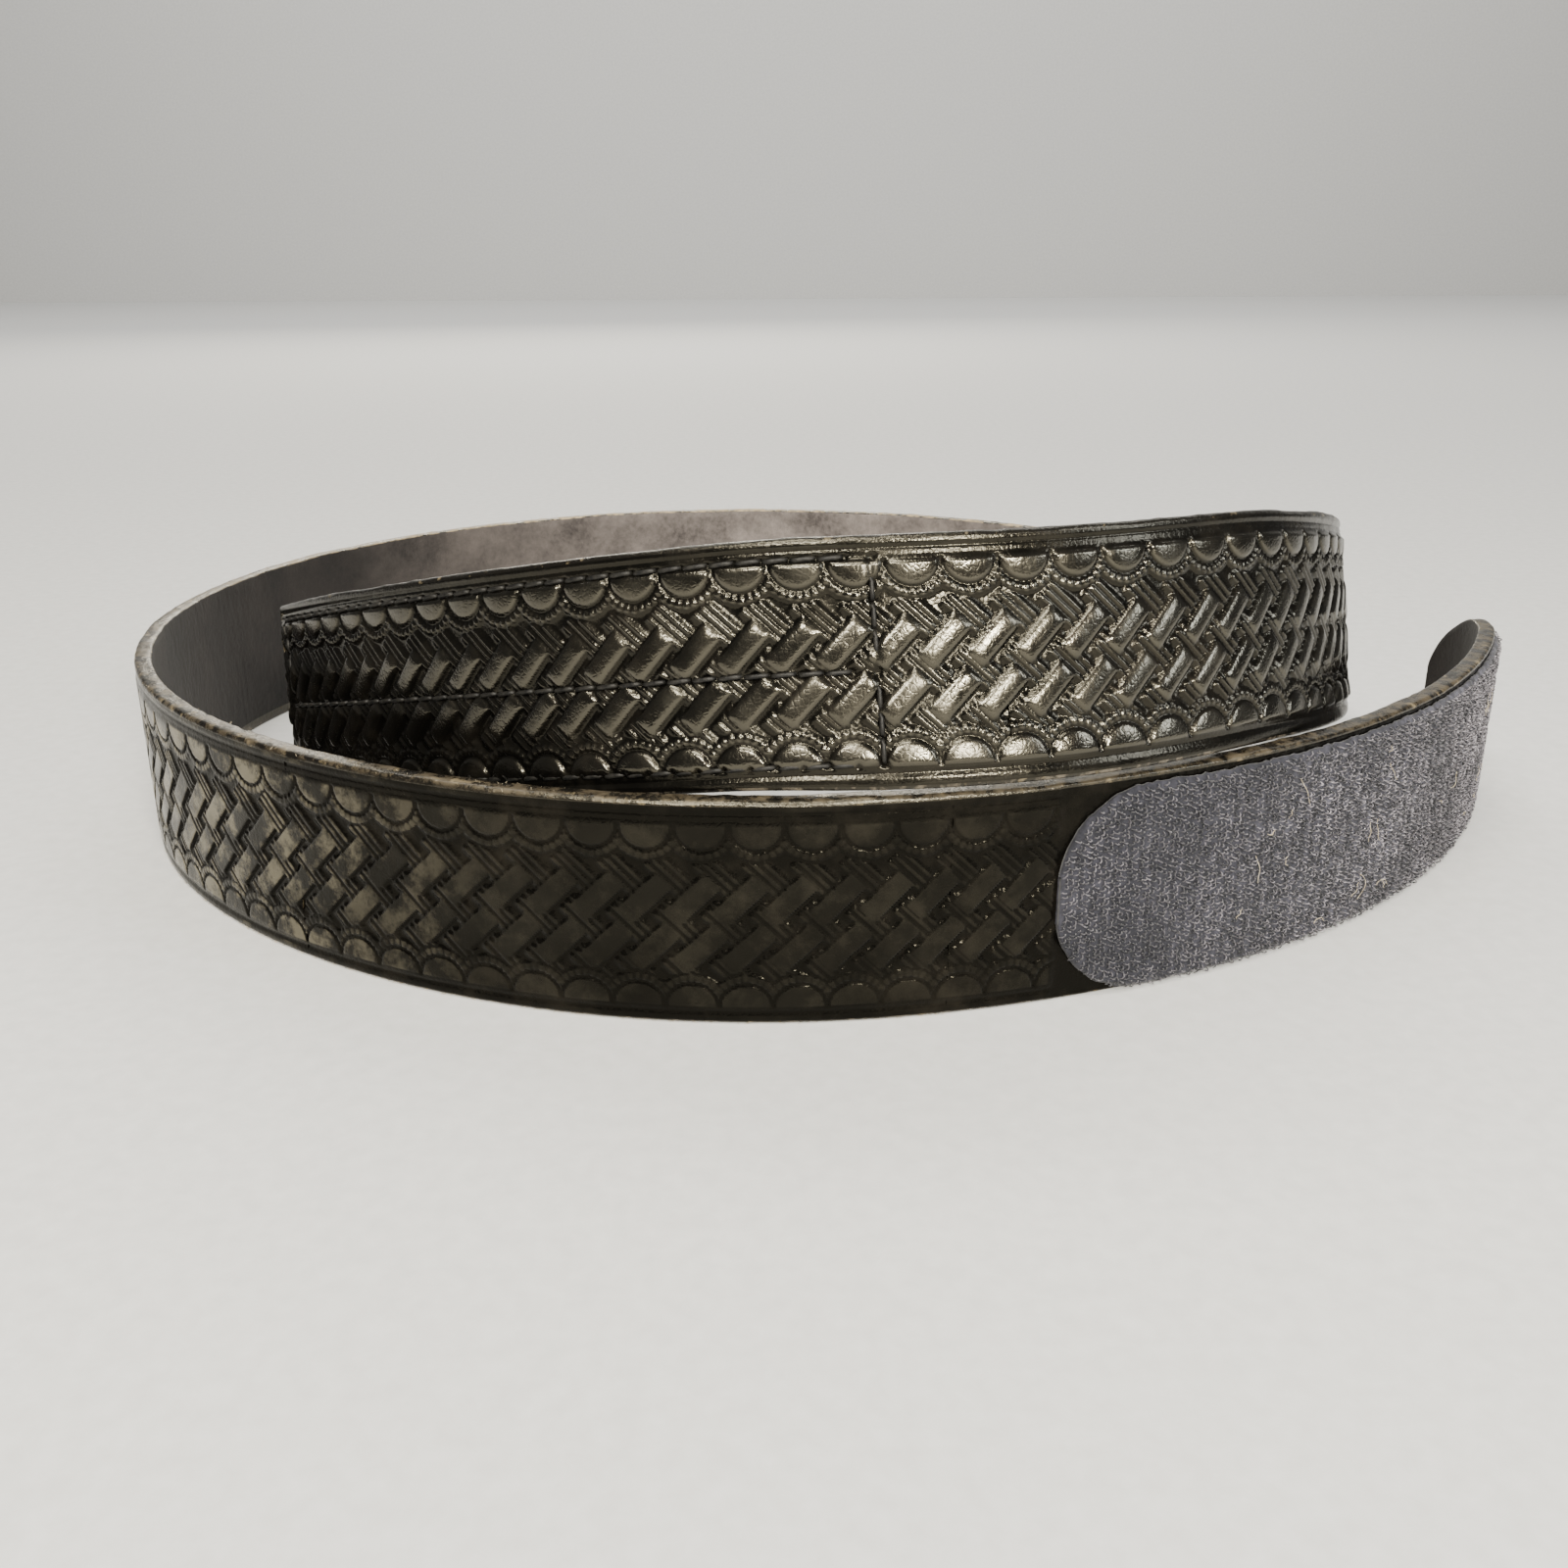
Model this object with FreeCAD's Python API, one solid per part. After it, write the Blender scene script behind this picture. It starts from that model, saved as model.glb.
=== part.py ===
"""Leather belt with a hook-and-loop closure, standing on its edge in a coil of one and a half turns.

The strap's centre line in plan is a chain of tangent arcs, counter-clockwise from the inner end to the
tip.  The outer turn stands on the ground.  The inner turn lies in a tilted plane, and settles where its
front part is raised on the outer turn's top edge.  Every piece is a band along that line, between two heights across
the strap and two offsets through its thickness.
"""
import FreeCAD, Part
import math
import os

from FreeCAD import Vector

os.makedirs("parts", exist_ok=True)
doc = FreeCAD.newDocument("belt")

DIMENSIONS = [
    ("strap_width", 38.1),
    ("strap_thickness", 3.5),
    ("start_heading", -59.0),
    ("inner_end_height", 11.2),
    ("rise_to_right", 0.077),
    ("rise_to_back", -0.269),
    ("landing_length", 8.0),
    ("rest_gap", 2.2),
    ("rest_blend", 2.2),
    ("flex_gap", 1.6),
    ("tip_corner_radius", 17.0),
    ("hook_panel_length", 147.0),
    ("loop_panel_length", 172.0),
    ("patch_glue_line", 0.05),
    ("loop_patch_thickness", 1.4),
    ("loop_patch_margin", 1.6),
    ("loop_patch_foot", 0.4),
    ("loop_patch_root", 2.0),
    ("loop_patch_tip", 0.6),
    ("hook_patch_thickness", 1.6),
    ("hook_patch_margin", 4.5),
    ("stitch_pitch", 4.1),
    ("stitch_length", 2.9),
    ("thread_radius", 0.4),
    ("stitch_inset", 3.4),
    ("centre_stitch_height", 17.5),
]
# One bend is a radius and a turn in degrees, from the inner end round the coil to the tip.
BENDS = [
    ("inner_left", 182.0, 29.0),
    ("inner_front", 97.5, 83.0),
    ("right_side", 132.0, 121.0),
    ("back_left", 130.0, 55.0),
    ("left_side", 119.5, 48.0),
    ("front_left", 121.0, 35.0),
    ("front", 142.0, 58.0),
    ("front_right", 192.0, 14.0),
    ("tip_root", 169.0, 41.0),
    ("tip_curl", 28.0, 50.0),
]
STATION_SPACING = 5.0
CORNER_STATIONS = 9


def fill_sheet():
    """Put every driving dimension in a cell of its own, under its alias."""
    sheet = doc.addObject("Spreadsheet::Sheet", "dimensions")
    rows = list(DIMENSIONS)
    for name, radius, turn in BENDS:
        rows.append((name + "_radius", radius))
        rows.append((name + "_turn", turn))
    for row, (alias, value) in enumerate(rows, start=1):
        sheet.set("A%d" % row, alias)
        sheet.set("B%d" % row, str(value))
        sheet.setAlias("B%d" % row, alias)
    doc.recompute()
    return sheet


sheet = fill_sheet()
WIDTH = float(sheet.strap_width)
HALF = float(sheet.strap_thickness) / 2


class Path:
    """The strap's centre line in plan, centred on the coil's bounding box."""

    def __init__(self):
        self.arcs = []
        x, y, heading, run = 0.0, 0.0, math.radians(float(sheet.start_heading)), 0.0
        for name, _, _ in BENDS:
            radius = float(getattr(sheet, name + "_radius"))
            turn = math.radians(float(getattr(sheet, name + "_turn")))
            self.arcs.append((run, x, y, heading, radius))
            x += radius * (math.sin(heading + turn) - math.sin(heading))
            y -= radius * (math.cos(heading + turn) - math.cos(heading))
            heading += turn
            run += radius * turn
        self.length = run
        self.centre = (0.0, 0.0)
        self.centre = self.middle()

    def plan(self, run):
        """Plan position and heading at a distance along the strap."""
        start, x, y, heading, radius = [arc for arc in self.arcs if arc[0] <= max(run, 0)][-1]
        turned = heading + (run - start) / radius
        x += radius * (math.sin(turned) - math.sin(heading))
        y -= radius * (math.cos(turned) - math.cos(heading))
        return x - self.centre[0], y - self.centre[1], turned

    def middle(self):
        """Centre of the plan's bounding box, taken on the outermost faces."""
        patch = float(sheet.patch_glue_line) + float(sheet.loop_patch_thickness)
        patched_from = self.length - float(sheet.loop_panel_length)
        xs, ys = [], []
        for run in range(int(self.length) + 1):
            x, y, heading = self.plan(run)
            reach = HALF + (patch if run > patched_from else 0)
            xs.append(x + reach * math.sin(heading))
            ys.append(y - reach * math.cos(heading))
        return (min(xs) + max(xs)) / 2, (min(ys) + max(ys)) / 2


path = Path()


def base(run):
    """Point on the strap's lower edge, and its direction across the strap."""
    x, y, _ = path.plan(run)
    right, back = float(sheet.rise_to_right), float(sheet.rise_to_back)
    landing = float(sheet.landing_length)
    start_x, start_y, _ = path.plan(0)
    plane = float(sheet.inner_end_height) + right * (x - start_x) + back * (y - start_y)
    if run > path.length / 2 or plane <= -landing:
        return Vector(x, y, 0), Vector(0, 0, 1)
    lean = min(1, (plane + landing) / (2 * landing))
    height = plane if plane >= landing else (plane + landing) ** 2 / (4 * landing)
    rest, blend = WIDTH + float(sheet.rest_gap), float(sheet.rest_blend)
    if height > rest - blend:
        height = rest - max(rest + blend - height, 0) ** 2 / (4 * blend)
    across = Vector(-lean * right, -lean * back, 1)
    across.normalize()
    return Vector(x, y, height), across


def frame(run):
    """Lower-edge point, and the directions along, across and out of the strap."""
    point, across = base(run)
    along = base(run + 0.5)[0] - base(run - 0.5)[0]
    outward = along.cross(across)
    outward.normalize()
    return point, across.cross(outward) * -1, across, outward


def level_from():
    """First whole millimetre along the strap where it stands upright on the ground."""
    run = 0
    while base(run)[1].z < 1:
        run += 1
    return run


def spot(run, height, offset):
    """Point at a distance along, a height across and an offset outwards from mid-thickness."""
    point, _, across, outward = frame(run)
    return point + across * height + outward * offset


def stations(first, last, corner_first, corner_last):
    """Distances along a band, closer together round its rounded corners."""
    begin, end = first + corner_first, last - corner_last
    count = max(2, int((end - begin) / STATION_SPACING))
    middle = [begin + (end - begin) * step / count for step in range(count + 1)]
    swing = [math.radians(82.0) * step / CORNER_STATIONS for step in range(1, CORNER_STATIONS + 1)]
    head = [begin - corner_first * math.sin(angle) for angle in reversed(swing)] if corner_first else []
    tail = [end + corner_last * math.sin(angle) for angle in swing] if corner_last else []
    return head + middle + tail


def corner_drop(run, first, last, corner_first, corner_last):
    """How far a rounded corner takes the band's edge in from its full height."""
    reach = max(first + corner_first - run, run - last + corner_last, 0)
    radius = corner_first if run < (first + last) / 2 else corner_last
    return radius - math.sqrt(max(radius * radius - reach * reach, 0)) if radius else 0


def sides_of(runs, drops, low, high, inside, outside, level):
    """The four long faces of one span, and their edges; a level span's lower face is a true plane."""

    def rail(height, sign, offset):
        points = [spot(run, height + sign * drop, offset) for run, drop in zip(runs, drops)]
        curve = Part.BSplineCurve()
        curve.interpolate(Points=points, Parameters=runs)
        return curve.toShape()

    rails = [rail(low, 1, inside), rail(low, 1, outside), rail(high, -1, outside), rail(high, -1, inside)]
    faces = [Part.makeRuledSurface(rails[i], rails[(i + 1) % 4]) for i in range(4)]
    if level:
        ends = [Part.LineSegment(rails[0].Vertexes[end].Point, rails[1].Vertexes[end].Point).toShape()
                for end in (0, -1)]
        faces[0] = Part.Face(Part.Wire([rails[0], ends[1], rails[1], ends[0]]))
    return faces, rails


def cap(rails, end):
    """Flat face over one end of a band."""
    corners = [edge.Vertexes[end].Point for edge in rails]
    return Part.Face(Part.makePolygon(corners + corners[:1]))


def band(first, last, low, high, inside, outside, corner_first=0.0, corner_last=0.0, level=None):
    """Solid band of the strap between two distances, two heights and two offsets."""
    breaks = [first, level, last] if level else [first, last]
    faces, rails = [], []
    for begin, end in zip(breaks, breaks[1:]):
        runs = stations(begin, end, corner_first, corner_last)
        drops = [corner_drop(run, first, last, corner_first, corner_last) for run in runs]
        span, edges = sides_of(runs, drops, low, high, inside, outside, begin == level)
        faces += span
        rails.append(edges)
    shell = Part.makeShell(faces + [cap(rails[0], 0), cap(rails[-1], -1)])
    shell.sewShape()
    solid = Part.makeSolid(shell)
    if solid.Volume < 0:
        solid.reverse()
    return solid


def stitch(run, height, lengthwise):
    """One thread bar sunk to half its thickness in the strap's outer face."""
    _, along, across, _ = frame(run)
    length = float(sheet.stitch_length)
    direction = along if lengthwise else across
    start = spot(run, height, HALF) - direction * (length / 2)
    return Part.makeCylinder(float(sheet.thread_radius), length, start, direction)


def stitch_row(first, last, height):
    """Stitches along the strap at one height."""
    pitch = float(sheet.stitch_pitch)
    count = int((last - first) / pitch)
    return Part.makeCompound([stitch(first + pitch * (step + 0.5), height, True) for step in range(count)])


def cross_row(run):
    """Stitches across the strap, between the top and bottom rows, clear of the centre row."""
    pitch = float(sheet.stitch_pitch)
    inset, centre = float(sheet.stitch_inset), float(sheet.centre_stitch_height)
    count = int((WIDTH - 2 * inset) / pitch)
    heights = [inset + pitch * (step + 0.5) for step in range(count)]
    clear = [height for height in heights if abs(height - centre) > pitch / 2]
    return Part.makeCompound([stitch(run, height, False) for height in clear])


def add(name, shape):
    """Put a finished shape in the document under its node name."""
    feature = doc.addObject("Part::Feature", name)
    feature.Label = name
    feature.Shape = shape
    feature.Placement = FreeCAD.Placement()
    return feature


hook_end = float(sheet.hook_panel_length)
loop_start = path.length - float(sheet.loop_panel_length)
gap = float(sheet.flex_gap)
corner = float(sheet.tip_corner_radius)
glue = HALF + float(sheet.patch_glue_line)
hook_edge = float(sheet.hook_patch_margin)
loop_top = WIDTH - float(sheet.loop_patch_margin)
loop_root = loop_start + float(sheet.loop_patch_root)
loop_tip = path.length - float(sheet.loop_patch_tip)
loop_corner = corner - 1
inset = float(sheet.stitch_inset)
row_start = hook_edge
row_end = hook_end - inset

pieces = [
    add("strap_inner_end", band(0, hook_end - gap / 2, 0, WIDTH, -HALF, HALF)),
    add("strap_coil", band(hook_end + gap / 2, loop_start - gap / 2, 0, WIDTH, -HALF, HALF,
                           level=level_from())),
    add("strap_tip", band(loop_start + gap / 2, path.length, 0, WIDTH, -HALF, HALF, 0, corner)),
    add("loop_patch", band(loop_root, loop_tip, float(sheet.loop_patch_foot), loop_top, glue,
                           glue + float(sheet.loop_patch_thickness), loop_corner, loop_corner)),
    add("hook_patch", band(hook_edge, hook_end - 2 * inset, hook_edge, WIDTH - hook_edge,
                           -glue - float(sheet.hook_patch_thickness), -glue)),
    add("stitch_row_top", stitch_row(row_start, row_end, WIDTH - inset)),
    add("stitch_row_centre", stitch_row(row_start, row_end, float(sheet.centre_stitch_height))),
    add("stitch_row_bottom", stitch_row(row_start, row_end, inset)),
    add("stitch_row_end", cross_row(row_start)),
    add("stitch_row_cross", cross_row(row_end)),
]
doc.recompute()

for piece in pieces:
    if "Invalid" in piece.State or "Error" in piece.State:
        raise RuntimeError(piece.Name + " failed")
    if piece.Shape.isNull() or not piece.Shape.isValid():
        raise RuntimeError(piece.Name + " has no valid shape")
    piece.Shape.exportStep("parts/%s.step" % piece.Label)
    box = piece.Shape.BoundBox
    print(piece.Label, "%.0f mm3" % piece.Shape.Volume, "x %.1f..%.1f y %.1f..%.1f z %.1f..%.1f" % (
        box.XMin, box.XMax, box.YMin, box.YMax, box.ZMin, box.ZMax))
print("strap length %.1f" % path.length)
for title, run in (("inner end flex", hook_end), ("tip flex", loop_start)):
    point, _, across, _ = frame(run)
    print(title, [round(value, 3) for value in point], [round(value, 5) for value in across])
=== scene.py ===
"""Black basketweave-embossed belt with a hook-and-loop closure, coiled on its edge."""
import math

import bpy
import numpy as np
from mathutils import Euler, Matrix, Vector

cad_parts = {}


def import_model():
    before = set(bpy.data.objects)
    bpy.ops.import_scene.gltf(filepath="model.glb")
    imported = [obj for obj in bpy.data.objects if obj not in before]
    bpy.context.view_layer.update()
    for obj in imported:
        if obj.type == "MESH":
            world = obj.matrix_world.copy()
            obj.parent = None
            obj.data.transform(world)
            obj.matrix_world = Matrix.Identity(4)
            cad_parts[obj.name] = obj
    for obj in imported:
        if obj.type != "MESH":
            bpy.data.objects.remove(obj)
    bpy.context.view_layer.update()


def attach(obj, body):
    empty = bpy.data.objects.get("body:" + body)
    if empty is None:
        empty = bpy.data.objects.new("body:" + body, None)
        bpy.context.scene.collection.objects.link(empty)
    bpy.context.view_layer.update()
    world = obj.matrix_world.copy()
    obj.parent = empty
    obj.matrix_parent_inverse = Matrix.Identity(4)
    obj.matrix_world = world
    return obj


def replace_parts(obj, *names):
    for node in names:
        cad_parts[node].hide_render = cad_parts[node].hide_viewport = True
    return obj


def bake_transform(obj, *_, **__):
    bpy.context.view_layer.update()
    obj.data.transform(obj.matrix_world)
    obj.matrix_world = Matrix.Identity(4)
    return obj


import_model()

# ---------------------------------------------------------------- sizes, in millimetres
WIDTH = 38.1
HALF = 1.75  # half the strap's thickness
START_HEADING = -59.0  # degrees, at the inner end
INNER_END_HEIGHT = 11.2
RISE_TO_RIGHT = 0.077  # slopes of the inner turn's lower edge
RISE_TO_BACK = -0.269
LANDING = 8.0  # above this height the slopes hold, below it the edge eases down to the floor
REST_HEIGHT = WIDTH + 2.2  # highest that the lower edge goes, over the outer turn's upper edge
REST_BLEND = 2.2
TIP_CORNER = 17.0
HOOK_PANEL = 147.0
LOOP_PANEL = 172.0
GLUE = 0.05
LOOP_THICKNESS = 1.4
LOOP_PILE = 0.55
HOOK_THICKNESS = 1.6
HOOK_PILE = 0.9
HOOK_MARGIN = 4.5
LOOP_MARGIN = 1.6
STITCH_PITCH = 4.1
STITCH_INSET = 3.4
CENTRE_STITCH = 17.5
# radius and turn of each bend, from the inner end round the coil to the tip
BENDS = [(182.0, 29.0), (97.5, 83.0), (132.0, 121.0), (130.0, 55.0), (119.5, 48.0),
         (121.0, 35.0), (142.0, 58.0), (192.0, 14.0), (169.0, 41.0), (28.0, 50.0)]
LENGTH = sum(radius * math.radians(turn) for radius, turn in BENDS)
LOOP_START = LENGTH - LOOP_PANEL
# each tape's woven ground, under its pile
LOOP_GROUND = HALF + GLUE + LOOP_THICKNESS - LOOP_PILE
HOOK_GROUND = HALF + GLUE + HOOK_THICKNESS - HOOK_PILE
# first and last run, low and high edge, and corner radius of each patch
LOOP_PATCH = (LOOP_START + 2, LENGTH - 0.6, LOOP_MARGIN / 4, WIDTH - LOOP_MARGIN, TIP_CORNER - 1)
HOOK_PATCH = (HOOK_MARGIN, HOOK_PANEL - 2 * STITCH_INSET, HOOK_MARGIN, WIDTH - HOOK_MARGIN, 0)
FRONT, EDGE, BACK = 0, 1, 2  # the strap's faces, and their material slots
GRID = 0.34  # spacing of the embossed mesh
MM = 0.001


# ---------------------------------------------------------------- the strap's centre line
def chain():
    """Start run, x, y, heading and radius of each bend."""
    arcs = []
    x, y, heading, run = 0.0, 0.0, math.radians(START_HEADING), 0.0
    for radius, turn in BENDS:
        turn = math.radians(turn)
        arcs.append((run, x, y, heading, radius))
        x += radius * (math.sin(heading + turn) - math.sin(heading))
        y -= radius * (math.cos(heading + turn) - math.cos(heading))
        heading += turn
        run += radius * turn
    return np.array(arcs)


ARCS = chain()


def plan(run, centre):
    """Plan position and heading at distances along the strap."""
    arc = ARCS[np.clip(np.searchsorted(ARCS[:, 0], run, side="right") - 1, 0, len(ARCS) - 1)]
    turned = arc[:, 3] + (run - arc[:, 0]) / arc[:, 4]
    x = arc[:, 1] + arc[:, 4] * (np.sin(turned) - np.sin(arc[:, 3])) - centre[0]
    y = arc[:, 2] - arc[:, 4] * (np.cos(turned) - np.cos(arc[:, 3])) - centre[1]
    return x, y, turned


def middle():
    """Centre of the plan's bounding box, taken on the outermost faces."""
    runs = np.arange(0, int(LENGTH) + 1, dtype=float)
    x, y, heading = plan(runs, (0, 0))
    reach = HALF + np.where(runs > LOOP_START, GLUE + LOOP_THICKNESS, 0)
    x, y = x + reach * np.sin(heading), y - reach * np.cos(heading)
    return (x.min() + x.max()) / 2, (y.min() + y.max()) / 2


CENTRE = middle()
START_X, START_Y, _ = (value[0] for value in plan(np.zeros(1), CENTRE))


def base(run):
    """Points on the strap's lower edge, and the directions across the strap."""
    x, y, _ = plan(run, CENTRE)
    level = INNER_END_HEIGHT + RISE_TO_RIGHT * (x - START_X) + RISE_TO_BACK * (y - START_Y)
    level = np.where(run > LENGTH / 2, -2 * LANDING, level)
    lean = np.clip((level + LANDING) / (2 * LANDING), 0, 1)
    height = np.where(level >= LANDING, level, np.maximum(level + LANDING, 0) ** 2 / (4 * LANDING))
    settled = REST_HEIGHT - np.maximum(REST_HEIGHT + REST_BLEND - height, 0) ** 2 / (4 * REST_BLEND)
    height = np.where(height > REST_HEIGHT - REST_BLEND, settled, height)
    across = np.stack([-lean * RISE_TO_RIGHT, -lean * RISE_TO_BACK, np.ones_like(lean)], 1)
    across /= np.linalg.norm(across, axis=1)[:, None]
    return np.stack([x, y, height], 1), across


def axes(run):
    """Lower-edge points, and the unit directions along, across and out of the strap."""
    point, across = base(run)
    along = base(run + 0.5)[0] - base(run - 0.5)[0]
    outward = np.cross(along, across)
    outward /= np.linalg.norm(outward, axis=1)[:, None]
    return point, np.cross(across, outward), across, outward


def spot(run, height, offset):
    """Points, in metres, at distances along, heights across and offsets outwards."""
    run, height, offset = (np.atleast_1d(np.asarray(v, float)) for v in (run, height, offset))
    run, height, offset = np.broadcast_arrays(run, height, offset)
    point, _, across, outward = axes(run)
    return (point + across * height[:, None] + outward * offset[:, None]) * MM


# ---------------------------------------------------------------- the embossed pattern
SCALLOP_PITCH = 8.56
SCALLOP_INSET = 3.9
LOWER_SCALLOPS = WIDTH - SCALLOP_INSET + 0.8
FAN_REACH = 6.1
BAR_PITCH = 7.5
BAR_HALF_LENGTH = 4.5
BAR_HALF_WIDTH = 1.95
BAR_ROWS = (16.3, 24.6)  # depths of the rows' centre lines
HATCH_ROWS = (12.0, 20.45, 28.9)
ROW_STAGGER = 0.15 * BAR_PITCH
GROUND_CUT = 0.32  # depth of the background between the stamps


def smooth(low, high, value):
    """Smooth step from 0 at low to 1 at high."""
    t = np.clip((value - low) / (high - low), 0, 1)
    return t * t * (3 - 2 * t)


def scallop_row(run, depth, shift):
    """A row of half-moon domes with a fan of short lines round each."""
    u = (run + shift) % SCALLOP_PITCH - SCALLOP_PITCH / 2
    radius = np.hypot(u, depth)
    angle = np.arctan2(u, np.maximum(depth, 1e-6))
    inside = depth > 0
    dome = 0.62 * np.sqrt(np.clip(1 - (radius / 4.05) ** 2.2, 0, 1))
    groove = -0.34 * np.exp(-((radius - 4.15) / 0.28) ** 2)
    fan_zone = smooth(4.2, 4.5, radius) * (1 - smooth(5.6, 5.9, radius))
    fan = fan_zone * (0.16 + 0.15 * np.cos(angle * 26))
    rim = -0.22 * np.exp(-((radius - 6.0) / 0.22) ** 2)
    flat_side = smooth(-0.15, 0.35, depth)
    return np.where(inside, dome * flat_side + groove + fan + rim, 0), radius


def slanted(run, depth, row, pitch, shift, slant):
    """Coordinates along and across the nearest slanted cell of a row."""
    best_a = np.full(np.shape(run), 99.0)
    best_b = np.full(np.shape(run), 99.0)
    local = (run + shift) % pitch - pitch / 2
    for step in (-1, 0, 1):
        u = local - step * pitch
        v = row - depth
        a = (u * slant + v) / math.sqrt(2)
        b = (u - slant * v) / math.sqrt(2)
        nearer = np.abs(b) < np.abs(best_b)
        best_a = np.where(nearer, a, best_a)
        best_b = np.where(nearer, b, best_b)
    return best_a, best_b


def emboss(run, depth):
    """Relief, in millimetres, at distances along the strap and depths below its top edge."""
    height = np.full(np.shape(run), -GROUND_CUT)
    for index, row in enumerate(HATCH_ROWS):
        a, b = slanted(run, depth, row, BAR_PITCH, BAR_PITCH / 2 - index * ROW_STAGGER, -1)
        cell = smooth(3.9, 3.4, np.abs(a)) * smooth(2.3, 2.0, np.abs(b))
        lines = 0.04 + 0.2 * np.cos(b * 2 * math.pi / 1.3)
        height = np.maximum(height, cell * lines - GROUND_CUT * (1 - cell))
    for index, row in enumerate(BAR_ROWS):
        a, b = slanted(run, depth, row, BAR_PITCH, -index * ROW_STAGGER, 1)
        body = (np.clip(1 - (np.abs(b) / BAR_HALF_WIDTH) ** 2.6, 0, 1)
                * np.clip(1 - (np.abs(a) / BAR_HALF_LENGTH) ** 7, 0, 1))
        moat = np.exp(-((np.abs(b) - BAR_HALF_WIDTH - 0.2) / 0.3) ** 2) * (np.abs(a) < BAR_HALF_LENGTH - 0.3)
        height = np.where(body > 0, -0.12 + 0.72 * np.sqrt(body), height - 0.2 * moat)
    upper, upper_radius = scallop_row(run, depth - SCALLOP_INSET, 0.0)
    height = np.where((depth > SCALLOP_INSET) & (upper_radius < FAN_REACH), upper, height)
    lower, lower_radius = scallop_row(run, LOWER_SCALLOPS - depth, 2.0)
    height = np.where((depth < LOWER_SCALLOPS) & (lower_radius < FAN_REACH), lower, height)
    height = np.where((depth < SCALLOP_INSET) | (depth > LOWER_SCALLOPS), 0.0, height)
    for crease, depth_cut in ((2.1, 0.42), (2.95, 0.18), (WIDTH - 2.1, 0.4)):
        height = height - depth_cut * np.exp(-((depth - crease) / 0.24) ** 2)
    return height


def value_noise(x, y, seed):
    """Smooth noise from -1 to 1 on a unit lattice."""
    table = np.random.default_rng(seed).uniform(-1, 1, (64, 64))
    xi, yi = np.floor(x).astype(int), np.floor(y).astype(int)
    fx, fy = x - xi, y - yi
    fx, fy = fx * fx * (3 - 2 * fx), fy * fy * (3 - 2 * fy)
    corner = [table[(xi + i) % 64, (yi + j) % 64] for i in (0, 1) for j in (0, 1)]
    low = corner[0] * (1 - fy) + corner[1] * fy
    high = corner[2] * (1 - fy) + corner[3] * fy
    return low * (1 - fx) + high * fx


def worn_flat(run, shape):
    """The outer turn's front is rubbed down to flat tops between crisp grooves."""
    amount = smooth(LENGTH - 480, LENGTH - 330, run)
    flat = 0.10 * np.tanh(shape / 0.10)
    return shape * (1 - amount) + np.where(shape > 0, flat, 0.85 * shape) * amount


def stitch_dimples(run, depth):
    """Needle holes, and the pull of each thread row, on the stitched panel."""
    panel = (run > HOOK_MARGIN - 1) & (run < HOOK_PANEL - STITCH_INSET + 1)
    phase = (run - HOOK_MARGIN) % STITCH_PITCH
    hole = np.exp(-(np.minimum(phase, STITCH_PITCH - phase) / 0.42) ** 2)
    pull = np.zeros(np.shape(run))
    for row in (STITCH_INSET, WIDTH - CENTRE_STITCH, WIDTH - STITCH_INSET):
        pull += np.exp(-((depth - row) / 0.5) ** 2) * (0.22 + 0.5 * hole)
    between_rows = (depth > STITCH_INSET) & (depth < WIDTH - STITCH_INSET)
    for line in (HOOK_MARGIN, HOOK_PANEL - STITCH_INSET):
        pull += 0.3 * np.exp(-((run - line) / 0.5) ** 2) * between_rows
    return -pull * panel


def relief(run, depth):
    """Embossing, wear, stitching and unevenness of the outer face."""
    shape = worn_flat(run, emboss(run, depth))
    waves = 0.06 * value_noise(run / 9, depth / 7, 3) + 0.012 * value_noise(run / 1.4, depth / 1.4, 4)
    return shape + stitch_dimples(run, depth) + waves


# ---------------------------------------------------------------- mesh helpers
def make_object(name, verts, faces, slots=None, materials=(), attributes=None, uv=None):
    """Object from arrays of points and faces, with optional per-point values."""
    mesh = bpy.data.meshes.new(name)
    mesh.from_pydata(verts.tolist(), [], faces)
    for material in materials:
        mesh.materials.append(material)
    if slots is not None:
        mesh.polygons.foreach_set("material_index", np.asarray(slots, np.int32))
    mesh.polygons.foreach_set("use_smooth", np.full(len(mesh.polygons), True))
    for key, values in (attributes or {}).items():
        layer = mesh.attributes.new(key, "FLOAT", "POINT")
        layer.data.foreach_set("value", np.asarray(values, np.float32))
    if uv is not None:
        loops = np.zeros(len(mesh.loops), np.int32)
        mesh.loops.foreach_get("vertex_index", loops)
        layer = mesh.uv_layers.new(name="strap")
        layer.data.foreach_set("uv", np.asarray(uv, np.float32)[loops].ravel())
    mesh.update()
    obj = bpy.data.objects.new(name, mesh)
    bpy.context.collection.objects.link(obj)
    return obj


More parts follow.
